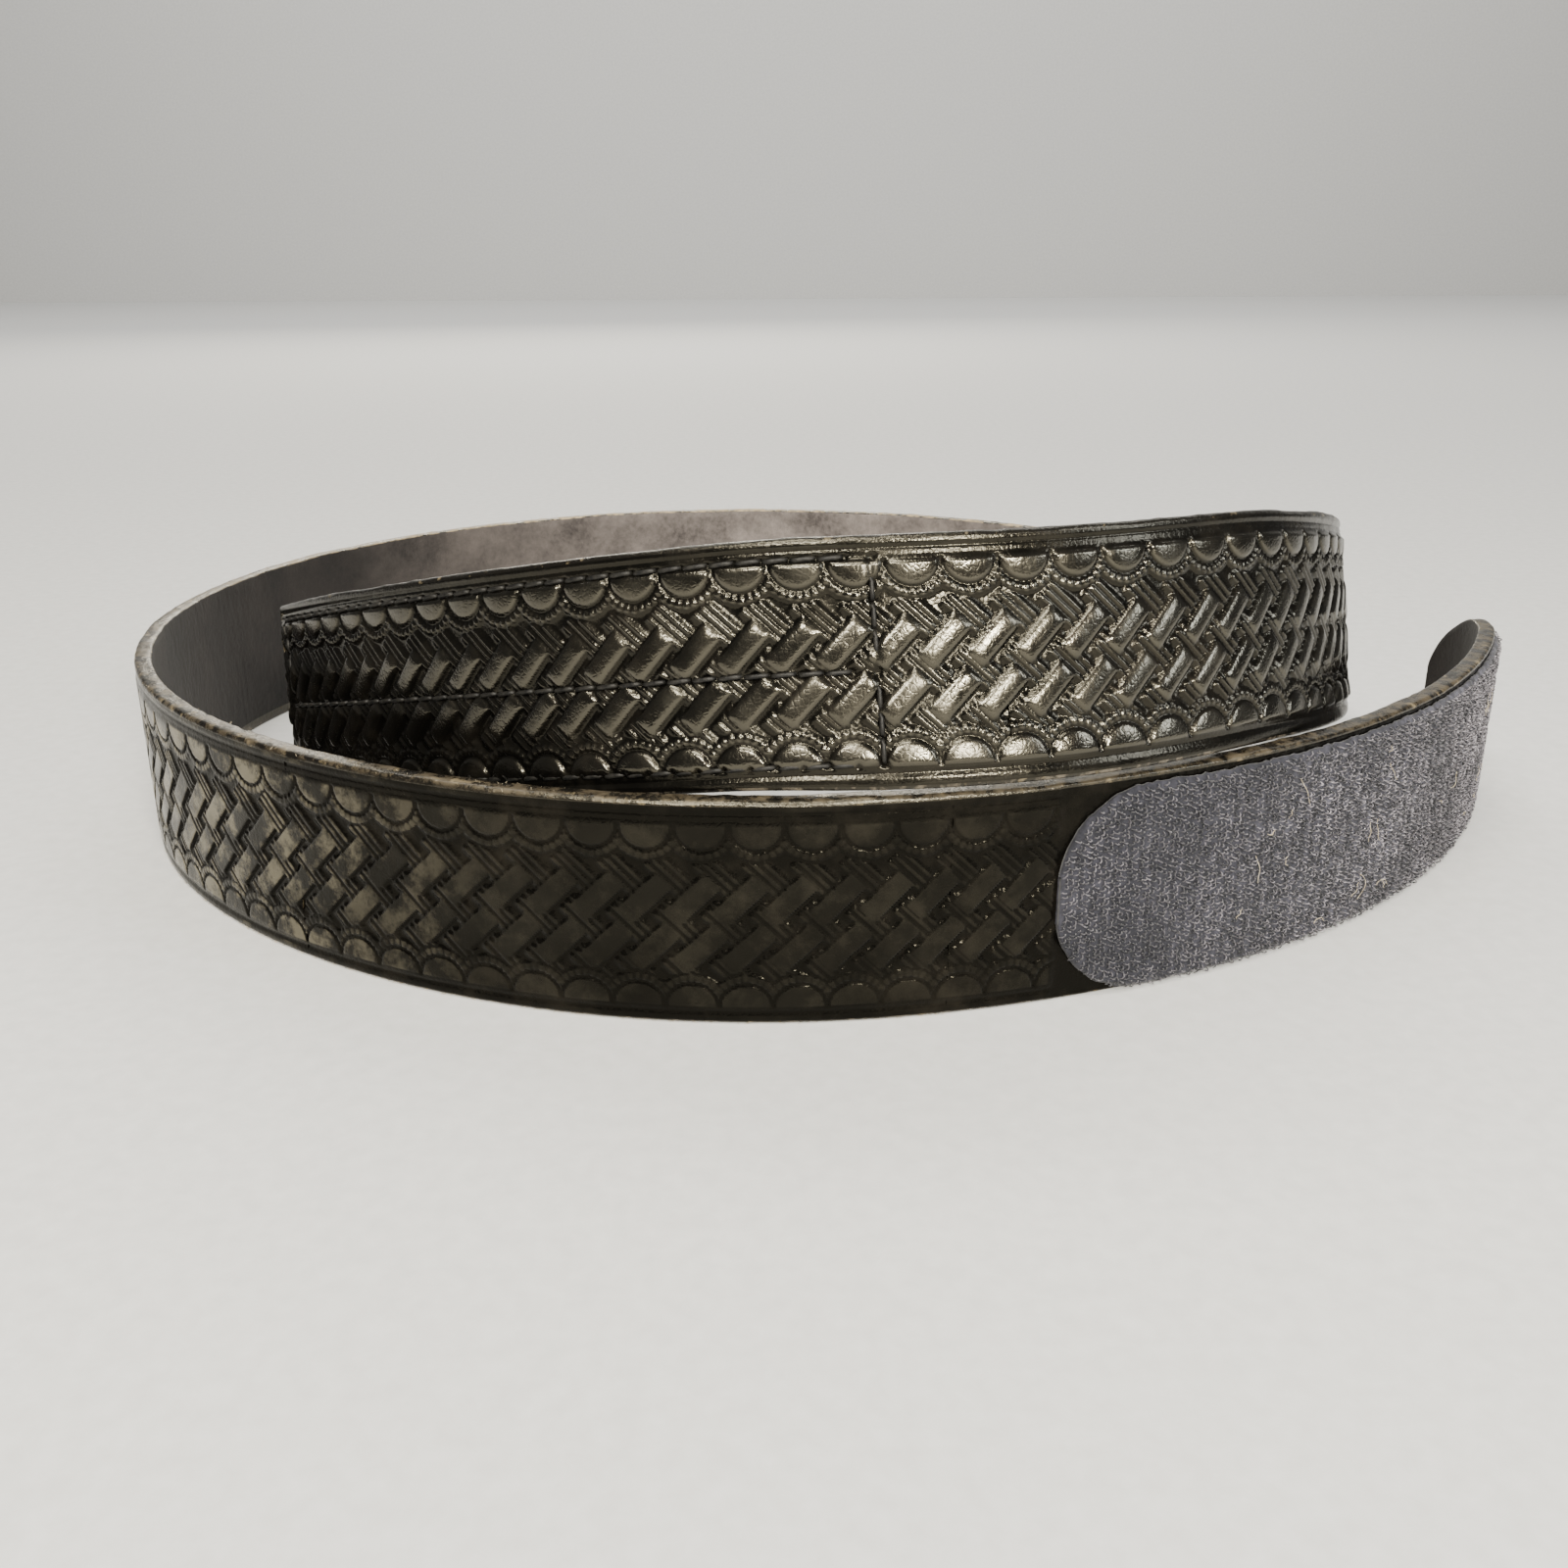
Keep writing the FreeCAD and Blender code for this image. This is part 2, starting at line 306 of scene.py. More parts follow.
def profile():
    """Height across and offset outwards of each point round the strap's section, and its face."""
    bead, back_round = 0.9, 0.5
    heights, offsets, kinds = [], [], []

    def put(height, offset, kind):
        """Add a point and the face that it belongs to."""
        heights.append(height)
        offsets.append(offset)
        kinds.append(kind)

    for offset in np.linspace(-HALF + back_round, HALF - bead, 4)[:-1]:
        put(WIDTH, offset, EDGE)
    for angle in np.linspace(90, 0, 5)[:-1]:
        put(WIDTH - bead + bead * math.sin(math.radians(angle)),
            HALF - bead + bead * math.cos(math.radians(angle)), EDGE)
    for height in np.linspace(WIDTH - bead, bead, int((WIDTH - 2 * bead) / GRID)):
        put(height, HALF, FRONT)
    for angle in np.linspace(0, 90, 5)[1:]:
        put(bead - bead * math.sin(math.radians(angle)),
            HALF - bead + bead * math.cos(math.radians(angle)), EDGE)
    for offset in np.linspace(HALF - bead, -HALF + back_round, 4)[1:]:
        put(0, offset, EDGE)
    for angle in (30, 60, 90):
        put(back_round - back_round * math.cos(math.radians(angle)),
            -HALF + back_round - back_round * math.sin(math.radians(angle)), EDGE)
    for height in np.linspace(back_round, WIDTH - back_round, 22)[1:]:
        put(height, -HALF, BACK)
    for angle in (60, 30):
        put(WIDTH - back_round + back_round * math.cos(math.radians(angle)),
            -HALF + back_round - back_round * math.sin(math.radians(angle)), EDGE)
    return np.array(heights), np.array(offsets), np.array(kinds)


def corner_drop(run, first, last, corner_first, corner_last):
    """How far rounded corners take a band's edges in from its full height."""
    drop = np.zeros(len(run))
    corners = ((first + corner_first - run, corner_first), (run - last + corner_last, corner_last))
    for reach, radius in corners:
        if radius:
            reach = np.clip(reach, 0, radius * 0.99)
            drop = np.maximum(drop, radius - np.sqrt(radius * radius - reach * reach))
    return drop


def ring_faces(rings, count):
    """Quads between closed rings of points."""
    faces = []
    for i in range(rings - 1):
        a, b = i * count, (i + 1) * count
        for j in range(count):
            k = (j + 1) % count
            faces.append((a + j, a + k, b + k, b + j))
    return faces


def end_fans(verts, rings, count):
    """A fan of triangles over each end of a tube, and the points with those that the fans add."""
    faces = []
    for ring in (0, rings - 1):
        rim = verts[ring * count:ring * count + count]
        start = len(verts)
        verts = np.vstack([verts, rim, rim.mean(0)])
        hub = len(verts) - 1
        order = range(count) if ring == 0 else range(count - 1, -1, -1)
        for j in range(count):
            faces.append((hub, start + order[(j + 1) % count], start + order[j]))
    return verts, faces


def meeting_edges(run, height):
    """Shift that draws the inner turn's lower edge and the outer turn's upper edge together."""
    swell = 0.6 * smooth(118, 145, run) * smooth(300, 255, run) * smooth(2.4, 0.0, height)
    crown = 0.3 * smooth(LENGTH - 430, LENGTH - 390, run) * smooth(WIDTH - 2.0, WIDTH, height)
    return crown - swell


def strap_piece(name, first, last, materials, corner_last=0.0):
    """One stretch of the strap as a closed, embossed solid."""
    heights, offsets, kinds = profile()
    count = len(heights)
    runs = np.linspace(first, last, max(2, int((last - first) / GRID)))
    if corner_last:
        swing = np.linspace(0, math.radians(80), 40)[1:]
        straight = runs[runs <= last - corner_last]
        runs = np.concatenate([straight, last - corner_last + corner_last * np.sin(swing)])
    rings = len(runs)
    drop = corner_drop(runs, first, last, 0.0, corner_last)
    share = heights / WIDTH
    run_grid = np.repeat(runs, count)
    drop_grid = np.repeat(drop, count)
    height_grid = drop_grid + (WIDTH - 2 * drop_grid) * np.tile(share, rings)
    offset_grid = np.tile(offsets, rings)
    kind_grid = np.tile(kinds, rings)
    depth = WIDTH - height_grid
    raised = relief(run_grid, depth)
    patched = smooth(LOOP_START + 1, LOOP_START + 3, run_grid)
    raised = raised * (1 - patched) - 0.25 * patched * (kind_grid == FRONT)
    edge_dents = (0.10 * value_noise(run_grid / 2.2, offset_grid * 2, 9)
                  + 0.12 * value_noise(run_grid / 11, depth / 9, 8))
    suede = 0.05 * value_noise(run_grid / 1.1, depth / 1.1, 5)
    push = np.where(kind_grid == FRONT, raised, np.where(kind_grid == BACK, suede, 0))
    upper_edge = (kind_grid == EDGE) & (height_grid > WIDTH / 2)
    height_grid = height_grid + np.where(upper_edge, edge_dents - 0.1, 0)
    height_grid = height_grid + meeting_edges(run_grid, height_grid)
    verts, fans = end_fans(spot(run_grid, height_grid, offset_grid + push), rings, count)
    faces = ring_faces(rings, count) + fans
    slots = np.tile(kinds, rings - 1).tolist() + [EDGE] * len(fans)
    extra = np.zeros(len(verts) - rings * count)  # values of the fans' points
    attributes = {
        "relief": np.concatenate([push, extra]),
        "run": np.concatenate([run_grid / LENGTH, extra]),
        "top_edge": np.concatenate([smooth(1.0, 0.0, depth) * (kind_grid == EDGE), extra]),
        "bottom_edge": np.concatenate([smooth(WIDTH - 1.3, WIDTH, depth), extra]),
    }
    uv = np.stack([run_grid, height_grid], 1) * 0.01
    uv = np.vstack([uv, np.zeros((len(extra), 2))])
    obj = make_object(name, verts, faces, slots, materials, attributes, uv)
    obj.data.validate()
    return obj


# ---------------------------------------------------------------- materials
WARM_SHINE = (1.0, 0.93, 0.73, 1)
NIGHT_BLUE = (0.002, 0.0025, 0.007, 1)


def grey(level):
    """An opaque grey."""
    return (level, level, level, 1)


def new_material(name):
    """A material, its nodes and links, and its shader."""
    material = bpy.data.materials.new(name)
    material.use_nodes = True
    nodes = material.node_tree.nodes
    return material, nodes, material.node_tree.links, nodes["Principled BSDF"]


def add_node(nodes, kind, **values):
    """A node with some of its settings."""
    node = nodes.new(kind)
    for key, value in values.items():
        setattr(node, key, value)
    return node


def noise(nodes, links, vector, scale, detail=3.0, rough=0.55):
    """Cloudy noise over the given coordinates."""
    node = nodes.new("ShaderNodeTexNoise")
    node.inputs["Scale"].default_value = scale
    node.inputs["Detail"].default_value = detail
    node.inputs["Roughness"].default_value = rough
    links.new(vector, node.inputs["Vector"])
    return node.outputs["Fac"]


def ramp(nodes, links, factor, low, high, dark=grey(0), light=grey(1)):
    """A factor spread from one colour at low to another at high."""
    node = nodes.new("ShaderNodeValToRGB")
    node.color_ramp.elements[0].position = low
    node.color_ramp.elements[1].position = high
    node.color_ramp.elements[0].color = dark
    node.color_ramp.elements[1].color = light
    links.new(factor, node.inputs["Fac"])
    return node.outputs["Color"]


def multiply(nodes, links, first, second):
    """Product of two values or sockets."""
    node = add_node(nodes, "ShaderNodeMath", operation="MULTIPLY")
    for socket, value in zip(node.inputs, (first, second)):
        if isinstance(value, (int, float)):
            socket.default_value = value
        else:
            links.new(value, socket)
    return node.outputs["Value"]


def mix(nodes, links, factor, first, second):
    """Blend from the first colour to the second."""
    node = add_node(nodes, "ShaderNodeMix", data_type="RGBA")
    if isinstance(factor, (int, float)):
        node.inputs[0].default_value = factor
    else:
        links.new(factor, node.inputs[0])
    for socket, value in ((node.inputs[6], first), (node.inputs[7], second)):
        if isinstance(value, tuple):
            socket.default_value = value
        else:
            links.new(value, socket)
    return node.outputs[2]


def tint(nodes, links, color, shade):
    """One colour multiplied by another."""
    node = add_node(nodes, "ShaderNodeMix", data_type="RGBA", blend_type="MULTIPLY")
    node.inputs[0].default_value = 1.0
    links.new(color, node.inputs[6])
    links.new(shade, node.inputs[7])
    return node.outputs[2]


def attribute(nodes, name):
    """A value stored on the mesh's points."""
    return add_node(nodes, "ShaderNodeAttribute", attribute_name=name).outputs["Fac"]


def place(nodes):
    """Coordinates in the object's own space."""
    return nodes.new("ShaderNodeTexCoord").outputs["Object"]


def bump(nodes, links, shader, height, strength, distance):
    """Fine relief from a height."""
    node = nodes.new("ShaderNodeBump")
    node.inputs["Strength"].default_value = strength
    node.inputs["Distance"].default_value = distance
    links.new(height, node.inputs["Height"])
    links.new(node.outputs["Normal"], shader.inputs["Normal"])


def glossy_leather():
    """Dyed and waxed embossed leather: dust in the grooves, pale high spots on the outer turn's front that
    are partly scuffing and dust and partly a painted reflection of light, fine crazing.
    """
    material, nodes, links, shader = new_material("glossy_leather")
    where = place(nodes)
    dust = multiply(nodes, links, noise(nodes, links, where, 260), noise(nodes, links, where, 60))
    base_color = mix(nodes, links, ramp(nodes, links, dust, 0.22, 0.5),
                     (0.0016, 0.0015, 0.0013, 1), (0.0075, 0.0065, 0.005, 1))
    # Pale flat tops on the left of the outer turn's front: partly real wear and dust, partly a painted
    # reflection of light. Faded out further along and broken into patches.
    wear_and_sheen = multiply(nodes, links, ramp(nodes, links, attribute(nodes, "run"), 0.62, 0.68),
                    ramp(nodes, links, attribute(nodes, "relief"), 0.0, 0.10))
    fading = ramp(nodes, links, attribute(nodes, "run"), 0.70, 0.77, grey(1), grey(0.03))
    wear_and_sheen = multiply(nodes, links, multiply(nodes, links, wear_and_sheen, fading),
                    ramp(nodes, links, noise(nodes, links, where, 120, 7, 0.7), 0.46, 0.58))
    # Mix in the beige of those tops, a colour that is partly dust and partly painted reflection.
    base_color = mix(nodes, links, multiply(nodes, links, wear_and_sheen, 0.55), base_color, (0.25, 0.225, 0.16, 1))
    links.new(base_color, shader.inputs["Base Color"])
    roughness = ramp(nodes, links, noise(nodes, links, where, 190, 6), 0.3, 0.75, grey(0.13), grey(0.33))
    links.new(roughness, shader.inputs["Roughness"])
    polish = ramp(nodes, links, attribute(nodes, "run"), 0.22, 0.5, grey(0.9), grey(0.26))
    raised = ramp(nodes, links, attribute(nodes, "relief"), 0.0, 0.3, grey(0.3), grey(1))
    links.new(multiply(nodes, links, polish, raised), shader.inputs["Specular IOR Level"])
    shader.inputs["Specular Tint"].default_value = WARM_SHINE
    cells = add_node(nodes, "ShaderNodeTexVoronoi", feature="DISTANCE_TO_EDGE")
    cells.inputs["Scale"].default_value = 1150
    links.new(where, cells.inputs["Vector"])
    crazing = nodes.new("ShaderNodeMapping")
    crazing.inputs["Scale"].default_value = (900, 900, 160)
    links.new(where, crazing.inputs["Vector"])
    cracks = ramp(nodes, links, noise(nodes, links, crazing.outputs["Vector"], 1.0, 4), 0.42, 0.6)
    grain = ramp(nodes, links, cells.outputs["Distance"], 0.0, 0.22)
    height = add_node(nodes, "ShaderNodeMath", operation="ADD")
    links.new(grain, height.inputs[0])
    links.new(cracks, height.inputs[1])
    bump(nodes, links, shader, height.outputs["Value"], 0.24, 0.00006)
    return material


def edge_leather():
    """Cut edge: black dye rubbed through to tan fibre, mostly along the top of the back, with golden flecks
    painted in as glints.
    """
    material, nodes, links, shader = new_material("edge_leather")
    where = place(nodes)
    turn = ramp(nodes, links, attribute(nodes, "run"), 0.24, 0.36)
    front = ramp(nodes, links, attribute(nodes, "run"), 0.50, 0.64, grey(1), grey(0.16))
    amount = multiply(nodes, links, multiply(nodes, links, turn, front), attribute(nodes, "top_edge"))
    patches = ramp(nodes, links, noise(nodes, links, where, 260, 8, 0.75), 0.45, 0.58)
    rubbed = multiply(nodes, links, amount, patches)
    hem = multiply(nodes, links, attribute(nodes, "bottom_edge"),
                   ramp(nodes, links, noise(nodes, links, where, 420, 5), 0.5, 0.62))
    tan = mix(nodes, links, noise(nodes, links, where, 700), (0.2, 0.145, 0.08, 1), (0.5, 0.41, 0.27, 1))
    # Painted glints: small golden flecks scattered over the edge, painted into its colour as highlights.
    glint_flecks = ramp(nodes, links, noise(nodes, links, where, 320, 6), 0.6, 0.68)
    base_color = mix(nodes, links, multiply(nodes, links, glint_flecks, 0.35),
                     (0.004, 0.0035, 0.003, 1), (0.30, 0.24, 0.14, 1))
    base_color = mix(nodes, links, rubbed, base_color, tan)
    base_color = mix(nodes, links, multiply(nodes, links, hem, 0.5), base_color, (0.2, 0.17, 0.13, 1))
    links.new(base_color, shader.inputs["Base Color"])
    links.new(mix(nodes, links, rubbed, grey(0.24), grey(0.9)), shader.inputs["Roughness"])
    shader.inputs["Specular Tint"].default_value = WARM_SHINE
    bump(nodes, links, shader, noise(nodes, links, where, 1400, 5), 0.6, 0.0002)
    return material


def flesh_leather():
    """Flesh side: mottled grey-brown suede with rubbed, darker patches, and painted shade that darkens it
    further round, inside the coil.
    """
    material, nodes, links, shader = new_material("flesh_leather")
    where = place(nodes)
    clouds = noise(nodes, links, where, 55, 6, 0.65)
    base_color = ramp(nodes, links, clouds, 0.3, 0.72, (0.010, 0.008, 0.008, 1), (0.19, 0.165, 0.15, 1))
    fibres = ramp(nodes, links, noise(nodes, links, where, 620, 5, 0.7), 0.35, 0.75)
    base_color = mix(nodes, links, multiply(nodes, links, fibres, 0.35), base_color, (0.25, 0.215, 0.2, 1))
    # Painted shade: from the left of the coil onwards, the flesh side inside the coil is darkened nearly to
    # black.
    shade = ramp(nodes, links, attribute(nodes, "run"), 0.46, 0.57, grey(1), (0.07, 0.065, 0.065, 1))
    base_color = tint(nodes, links, base_color, shade)
    links.new(base_color, shader.inputs["Base Color"])
    shader.inputs["Roughness"].default_value = 0.78
    shader.inputs["Specular IOR Level"].default_value = 0.25
    shader.inputs["Sheen Weight"].default_value = 0.06
    shader.inputs["Sheen Roughness"].default_value = 0.5
    bump(nodes, links, shader, noise(nodes, links, where, 900, 8, 0.7), 0.7, 0.00035)
    return material


def pile_fabric(name, dark, light, scale, sheen):
    """Woven pile: speckled thread colours in slanting rows."""
    material, nodes, links, shader = new_material(name)
    where = place(nodes)
    speckle = ramp(nodes, links, noise(nodes, links, where, scale, 4, 0.7), 0.38, 0.66)
    blotches = ramp(nodes, links, noise(nodes, links, where, 60, 4), 0.35, 0.65, grey(0.35), grey(1))
    rows = nodes.new("ShaderNodeTexWave")
    rows.inputs["Scale"].default_value = 150
    rows.inputs["Distortion"].default_value = 3.0
    links.new(where, rows.inputs["Vector"])
    fleck = multiply(nodes, links, multiply(nodes, links, speckle, blotches),
                     ramp(nodes, links, rows.outputs["Fac"], 0.0, 0.8, grey(0.45), grey(1)))
    sideways = nodes.new("ShaderNodeSeparateXYZ")
    links.new(where, sideways.inputs["Vector"])
    fleck = multiply(nodes, links, fleck,
                     ramp(nodes, links, sideways.outputs["X"], 0.05, 0.11, grey(0.38), grey(1)))
    links.new(mix(nodes, links, fleck, dark, light), shader.inputs["Base Color"])
    shader.inputs["Roughness"].default_value = 0.88
    shader.inputs["Sheen Weight"].default_value = sheen
    bump(nodes, links, shader, noise(nodes, links, where, scale * 1.3, 3), 0.6, 0.0003)
    return material


def thread_material():
    """Black waxed thread with a fine twist."""
    material, nodes, links, shader = new_material("waxed_thread")
    where = place(nodes)
    base_color = ramp(nodes, links, noise(nodes, links, where, 900, 3), 0.3, 0.7,
                      grey(0.002), (0.016, 0.015, 0.013, 1))
    links.new(base_color, shader.inputs["Base Color"])
    shader.inputs["Roughness"].default_value = 0.5
    shader.inputs["Specular IOR Level"].default_value = 0.25
    bump(nodes, links, shader, noise(nodes, links, where, 2500, 2), 0.5, 0.0001)
    return material


def fibre_material():
    """Tan leather fibre and lint."""
    material, nodes, links, shader = new_material("tan_fibre")
    links.new(ramp(nodes, links, noise(nodes, links, place(nodes), 800), 0.3, 0.7,
                   (0.3, 0.23, 0.14, 1), (0.7, 0.62, 0.46, 1)), shader.inputs["Base Color"])
    shader.inputs["Roughness"].default_value = 0.8
    return material


# ---------------------------------------------------------------- threads, pile and hooks
def strands(name, centres, radius, sides, material, taper=1.0):
    """Many thin tubes at once; centres is an array of strands, points and coordinates in metres."""
    amount, points, _ = centres.shape
    along = np.gradient(centres, axis=1)
    along /= np.linalg.norm(along, axis=2)[..., None] + 1e-12
    helper = np.where(np.abs(along[..., 2:3]) > 0.8, np.array([1.0, 0, 0]), np.array([0, 0, 1.0]))
    side = np.cross(along, helper)
    side /= np.linalg.norm(side, axis=2)[..., None] + 1e-12
    other = np.cross(along, side)
    turn = np.arange(sides) * 2 * math.pi / sides
    width = radius * (1 - (1 - taper) * np.linspace(0, 1, points))[None, :, None, None]
    ring = (np.cos(turn)[None, None, :, None] * side[:, :, None]
            + np.sin(turn)[None, None, :, None] * other[:, :, None])
    verts = (centres[:, :, None] + width * ring).reshape(-1, 3)
    faces = []
    for strand in range(amount):
        start = strand * points * sides
        for i in range(points - 1):
            a = start + i * sides
            for j in range(sides):
                k = (j + 1) % sides
                faces.append((a + j, a + k, a + sides + k, a + sides + j))
        last = start + (points - 1) * sides
        faces.append(tuple(range(start + sides - 1, start - 1, -1)))
        faces.append(tuple(range(last, last + sides)))
    obj = make_object(name, verts, faces, None, [material])
    return obj


def curves(run, height, offset):
    """Points, in metres, of many curves at once, with one row for each curve."""
    run, height, offset = np.broadcast_arrays(run, height, offset)
    return spot(run.ravel(), height.ravel(), offset.ravel()).reshape(run.shape + (3,))


def stitch_line(name, runs, heights, lengthwise, material):
    """A row of stitches, each a short thread that rises out of one hole and dips into the next."""
    bend = np.linspace(-1, 1, 9)
    runs, heights = np.broadcast_arrays(np.asarray(runs, float), np.asarray(heights, float))
    swing = STITCH_PITCH * 0.43 * bend
    run_grid = runs[:, None] + (swing if lengthwise else 0)
    height_grid = heights[:, None] + (0.12 * bend if lengthwise else swing)
    centres = curves(run_grid, height_grid, HALF + 0.08 - 0.62 * np.abs(bend) ** 4)
    return strands(name, centres, 0.40 * MM, 7, material)


def patch_points(first, last, low, high, corner, spacing, seed):
    """Slightly shuffled points spread over a patch with rounded corners."""
    random = np.random.default_rng(seed)
    run, height = np.meshgrid(np.arange(first + spacing, last - spacing / 2, spacing),
                              np.arange(low + spacing / 2, high - spacing / 4, spacing))
    height = height + (np.arange(run.shape[1]) % 2)[None] * spacing / 2
    run, height = run.ravel(), height.ravel()
    run = run + random.uniform(-0.22, 0.22, run.size) * spacing
    height = height + random.uniform(-0.22, 0.22, run.size) * spacing
    drop = corner_drop(run, first, last, corner, corner)
    keep = (height > low + drop + 0.3) & (height < high - drop - 0.3)
    return run[keep], height[keep], random


def patch_base(name, first, last, low, high, corner, inside, outside, material, slot_name, seed):
    """A closed band of tape with rounded ends and a softly uneven face."""
    swing = np.linspace(0, math.radians(84), 26)[1:]
    runs = np.arange(first + corner, last - corner, 0.8)
    if corner:
        bulge = corner * np.sin(swing)
        runs = np.concatenate([(first + corner - bulge)[::-1], runs, last - corner + bulge])
    drop = corner_drop(runs, first, last, corner, corner)
    front, back = 46, 8  # points across the face, and across the side that is stuck down
    share = np.concatenate([np.linspace(0, 1, front), np.linspace(1, 0, back)])
    level = np.concatenate([np.full(front, outside), np.full(back, inside)])
    level[[0, front - 1]] = (inside + outside) / 2
    face = np.abs(level - outside) < 1e-6
    rings, count = len(runs), len(share)
    run_grid = np.repeat(runs, count)
    drop_grid = np.repeat(drop, count)
    share_grid = np.tile(share, rings)
    ragged = 0.25 * value_noise(run_grid / 0.9, share_grid * 9, seed)
    height = low + drop_grid + (high - low - 2 * drop_grid) * share_grid + ragged * (share_grid % 1 == 0)
    wobble = (0.16 * value_noise(run_grid / 1.3, height / 1.3, seed + 1)
              + 0.1 * value_noise(run_grid / 7, height / 5, seed + 2))
    offset = np.tile(level, rings) + wobble * np.tile(face, rings) * np.sign(outside)
    verts = spot(run_grid, height, offset)
    faces = ring_faces(rings, count)
    faces.append(tuple(range(count)))
    faces.append(tuple(range(len(verts) - 1, len(verts) - count - 1, -1)))
    obj = make_object(name, verts, faces, None, [material])
    return obj


def loops(name, material):
    """The loop patch's pile: small arched threads, brushed along the strap."""
    run, height, random = patch_points(*LOOP_PATCH, 0.95, 21)
    step = np.linspace(0, 1, 4)[None]
    lean = random.uniform(-0.9, 0.9, run.size)[:, None] + 0.5
    span = random.uniform(0.5, 1.2, run.size)[:, None]
    rise = random.uniform(0.35, 0.8, run.size)[:, None]
    u = run[:, None] + span * (step - 0.5) * np.cos(lean)
    v = height[:, None] + span * (step - 0.5) * np.sin(lean)
    offset = LOOP_GROUND + rise * np.sin(math.pi * step)
    return strands(name, curves(u, v, offset), 0.14 * MM, 3, material)


def hooks(name, material):
    """The hook patch's rows of small bent hooks on the flesh side."""
    run, height, _ = patch_points(*HOOK_PATCH, 1.5, 22)
    angle = np.linspace(0, 1.25 * math.pi, 6)[None]
    rise = np.concatenate([np.zeros(1), 0.55 + 0.3 * np.sin(angle[0, 1:] - 0.6)])
    lean = np.concatenate([np.zeros(1), 0.3 - 0.3 * np.cos(angle[0, 1:] - 0.6)])
    centres = curves(run[:, None] + lean, height[:, None], -HOOK_GROUND - rise)
    return strands(name, centres, 0.12 * MM, 3, material)


def fray(name, first, last, amount, top, material, seed, longest):
    """Loose fibres that stand out of the strap's cut edge."""
    random = np.random.default_rng(seed)
    run = random.uniform(first, last, amount)
    reach = random.uniform(0.3, longest, amount)[:, None]
    step = np.linspace(0, 1, 4)[None]
    side = random.uniform(-1.2, 1.2, amount)[:, None]
    u = run[:, None] + side * step ** 1.5 * reach
    v = WIDTH - 0.2 + reach * step if top else 0.25
    out = random.uniform(-HALF, HALF, amount)[:, None] if top else np.full((amount, 1), HALF - 0.2)
    offset = out + step * reach * (random.uniform(-0.6, 0.6, amount)[:, None] if top else 0.7)
    return strands(name, curves(u, v, offset), 0.045 * MM, 3, material, 0.4)


def lint(name, material):
    """A few stray pale hairs caught in the pile."""
    random = np.random.default_rng(77)
    amount = 26
    run = random.uniform(LOOP_START + 25, LENGTH - 12, amount)[:, None]
    height = random.uniform(4, WIDTH - 5, amount)[:, None]
    heading = random.uniform(0, 2 * math.pi, amount)[:, None]
    curl = random.uniform(-1.6, 1.6, amount)[:, None]
    length = random.uniform(1.5, 6.5, amount)[:, None]
    step = np.linspace(-0.5, 0.5, 9)[None]
    u = run + length * step * np.cos(heading + curl * step)
    v = np.clip(height + length * step * np.sin(heading + curl * step), 1.5, WIDTH - 2.5)
    offset = HALF + GLUE + LOOP_THICKNESS + 0.1 + 0.15 * np.cos(step * 9)
    return strands(name, curves(u, v, offset), 0.05 * MM, 4, material)


# ---------------------------------------------------------------- the belt
def cross(run):
    """A point of the strap's mid-thickness at half its width."""
    return tuple(spot(run, WIDTH / 2, 0)[0])


def across_inner(obj):
    """Bake a piece's placement into its mesh; used for the pieces at the inner end."""
    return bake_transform(obj, "inner_end", "coil", cross(HOOK_PANEL - 15), cross(HOOK_PANEL + 15))


def across_tip(obj):
    """Bake a piece's placement into its mesh; used for the pieces at the tip."""
    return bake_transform(obj, "coil", "tip", cross(LOOP_START - 15), cross(LOOP_START + 15))


leather = [glossy_leather(), edge_leather(), flesh_leather()]
thread = thread_material()
loop_fabric = pile_fabric("loop_pile", NIGHT_BLUE, (0.55, 0.51, 0.56, 1), 620, 0.15)
loop_ground = pile_fabric("loop_ground", NIGHT_BLUE, (0.09, 0.088, 0.12, 1), 620, 0.1)
hook_fabric = pile_fabric("hook_tape", (0.006, 0.006, 0.007, 1), (0.05, 0.05, 0.055, 1), 500, 0.1)

# the strap's pieces join just outside the 15 mm stretches each side of the inner end's and the tip's hinges
INNER_JOIN = HOOK_PANEL + 16
TIP_JOIN = LOOP_START - 16
inner_strap = strap_piece("inner_strap", 0, INNER_JOIN, leather)
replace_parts(across_inner(inner_strap), "strap_inner_end")
COIL_STRETCHES = 7
cuts = np.linspace(INNER_JOIN, TIP_JOIN, COIL_STRETCHES + 1)
for index in range(COIL_STRETCHES):
    stretch = strap_piece("coil_strap_%d" % (index + 1), cuts[index], cuts[index + 1], leather)
    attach(stretch, "coil")
    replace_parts(stretch, "strap_coil")
tip_strap = strap_piece("tip_strap", TIP_JOIN, LENGTH, leather, TIP_CORNER)
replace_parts(across_tip(tip_strap), "strap_tip")

loop_base = patch_base("loop_backing", *LOOP_PATCH, HALF - 0.2, LOOP_GROUND, loop_ground, "loop_fabric", 31)
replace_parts(across_tip(loop_base), "loop_patch")
across_tip(loops("loop_pile", loop_fabric))
hook_base = patch_base("hook_backing", *HOOK_PATCH, -HALF + 0.1, -HOOK_GROUND, hook_fabric, "hook_fabric", 41)
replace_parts(across_inner(hook_base), "hook_patch")
across_inner(hooks("hook_pile", hook_fabric))

